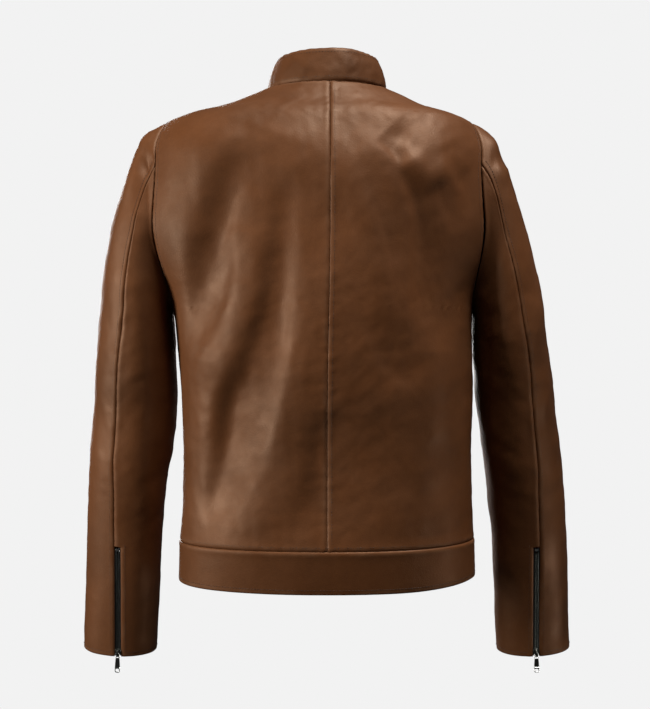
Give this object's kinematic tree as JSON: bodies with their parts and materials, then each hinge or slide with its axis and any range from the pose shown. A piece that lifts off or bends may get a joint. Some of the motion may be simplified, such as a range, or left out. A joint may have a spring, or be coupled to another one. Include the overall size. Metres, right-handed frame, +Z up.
{
  "type": "leather riding jacket",
  "caption": "Hip-length brown leather riding jacket with a stand collar, hem band, front zip, hand pockets and zipped cuffs on hinged sleeves.",
  "frame": {"origin": "middle of the hanger loop's lower edge, which bears on a hook, inside the back of the neck", "axes": "+Z up as the jacket hangs, the front faces -Y, and +X is the wearer's left"},
  "size_m": [0.6372, 0.245, 0.7881],
  "materials": {
    "leather": "semi-gloss waxed cowhide",
    "lining": "satin twill",
    "zip_tape": "woven tape",
    "pull_insert": "moulded",
    "nickel": "plated",
    "gunmetal": "dark plated"
  },
  "bodies": {
    "torso": {"back_panel_left": "leather", "back_panel_right": "leather", "front_panel_left": "leather", "front_panel_right": "leather", "hem_band_back": "leather", "hem_band_front_left": "leather", "hem_band_front_right": "leather", "lining_back": "lining", "lining_front_left": "lining", "lining_front_right": "lining", "front_facing_left": "leather", "front_facing_right": "leather", "collar_outer": "leather", "collar_inner": "leather", "collar_snap_stud": "nickel", "hanger_loop": "leather", "pocket_welt_left": "leather", "pocket_welt_right": "leather", "pocket_bag_left": "lining", "pocket_bag_right": "lining", "pocket_teeth_left": "gunmetal", "pocket_teeth_right": "gunmetal", "front_zip_tape_left": "zip_tape", "front_zip_tape_right": "zip_tape", "front_zip_teeth_left": "gunmetal", "front_zip_teeth_right": "gunmetal", "front_zip_box": "nickel"},
    "front_slider": {"front_slider": "gunmetal"},
    "front_pull": {"front_pull_frame": "nickel", "front_pull_tab": "pull_insert"},
    "collar_tab": {"collar_tab": "leather", "collar_snap_cap": "nickel"},
    "sleeve_left": {"sleeve_outer_left": "leather", "sleeve_under_left": "leather", "sleeve_lining_left": "lining", "cuff_gusset_left": "leather", "cuff_tape_outer_left": "zip_tape", "cuff_tape_under_left": "zip_tape", "cuff_teeth_outer_left": "gunmetal", "cuff_teeth_under_left": "gunmetal", "cuff_top_stop_left": "nickel"},
    "cuff_slider_left": {"cuff_slider_left": "gunmetal"},
    "cuff_pull_left": {"cuff_pull_frame_left": "nickel", "cuff_pull_tab_left": "pull_insert"},
    "pocket_slider_left": {"pocket_slider_left": "gunmetal"},
    "pocket_pull_left": {"pocket_pull_left": "nickel"},
    "sleeve_right": {"sleeve_outer_right": "leather", "sleeve_under_right": "leather", "sleeve_lining_right": "lining", "cuff_gusset_right": "leather", "cuff_tape_outer_right": "zip_tape", "cuff_tape_under_right": "zip_tape", "cuff_teeth_outer_right": "gunmetal", "cuff_teeth_under_right": "gunmetal", "cuff_top_stop_right": "nickel"},
    "cuff_slider_right": {"cuff_slider_right": "gunmetal"},
    "cuff_pull_right": {"cuff_pull_frame_right": "nickel", "cuff_pull_tab_right": "pull_insert"},
    "pocket_slider_right": {"pocket_slider_right": "gunmetal"},
    "pocket_pull_right": {"pocket_pull_right": "nickel"}
  },
  "joints": [
    {"name": "sleeve_lift_left", "type": "hinge", "parent": "torso", "child": "sleeve_left", "pos_m": [0.192, -0.0404, -0.035], "axis": [0, -1, 0], "range_deg": [0, 20]},
    {"name": "cuff_zip_slide_left", "type": "slide", "parent": "sleeve_left", "child": "cuff_slider_left", "axis": [-0.0165, 0.1331, 0.991], "range_m": [0, 0.128]},
    {"name": "cuff_pull_swing_left", "type": "hinge", "parent": "cuff_slider_left", "child": "cuff_pull_left", "pos_m": [0.26874, -0.04557, -0.71297], "axis": [0.9998, -0.0088, 0.0179], "range_deg": [-7, 140]},
    {"name": "pocket_zip_slide_left", "type": "slide", "parent": "torso", "child": "pocket_slider_left", "axis": [0.2457, 0.0412, -0.9685], "range_m": [0, 0.134]},
    {"name": "pocket_pull_swing_left", "type": "hinge", "parent": "pocket_slider_left", "child": "pocket_pull_left", "pos_m": [0.08511, -0.14564, -0.39455], "axis": [-0.9141, -0.3227, -0.2456], "range_deg": [0, 140]},
    {"name": "sleeve_lift_right", "type": "hinge", "parent": "torso", "child": "sleeve_right", "pos_m": [-0.192, -0.0404, -0.035], "axis": [0, 1, 0], "range_deg": [0, 20]},
    {"name": "cuff_zip_slide_right", "type": "slide", "parent": "sleeve_right", "child": "cuff_slider_right", "axis": [0.0165, 0.1331, 0.991], "range_m": [0, 0.128]},
    {"name": "cuff_pull_swing_right", "type": "hinge", "parent": "cuff_slider_right", "child": "cuff_pull_right", "pos_m": [-0.26874, -0.04557, -0.71297], "axis": [0.9998, 0.0088, -0.0179], "range_deg": [-7, 140]},
    {"name": "pocket_zip_slide_right", "type": "slide", "parent": "torso", "child": "pocket_slider_right", "axis": [-0.2457, 0.0412, -0.9685], "range_m": [0, 0.134]},
    {"name": "pocket_pull_swing_right", "type": "hinge", "parent": "pocket_slider_right", "child": "pocket_pull_right", "pos_m": [-0.08511, -0.14564, -0.39455], "axis": [-0.9141, 0.3227, 0.2456], "range_deg": [0, 140]},
    {"name": "front_zip_slide", "type": "slide", "parent": "torso", "child": "front_slider", "axis": [0, -0.042, -0.9991], "range_m": [0, 0.517]},
    {"name": "front_pull_swing", "type": "hinge", "parent": "front_slider", "child": "front_pull", "pos_m": [0, -0.13856, -0.07445], "axis": [-1, 0, 0], "range_deg": [0, 140]},
    {"name": "collar_tab_open", "type": "hinge", "parent": "torso", "child": "collar_tab", "pos_m": [-0.03663, -0.12605, -0.03124], "axis": [-0.0317, -0.1033, -0.9941], "range_deg": [0, 95]}
  ]
}
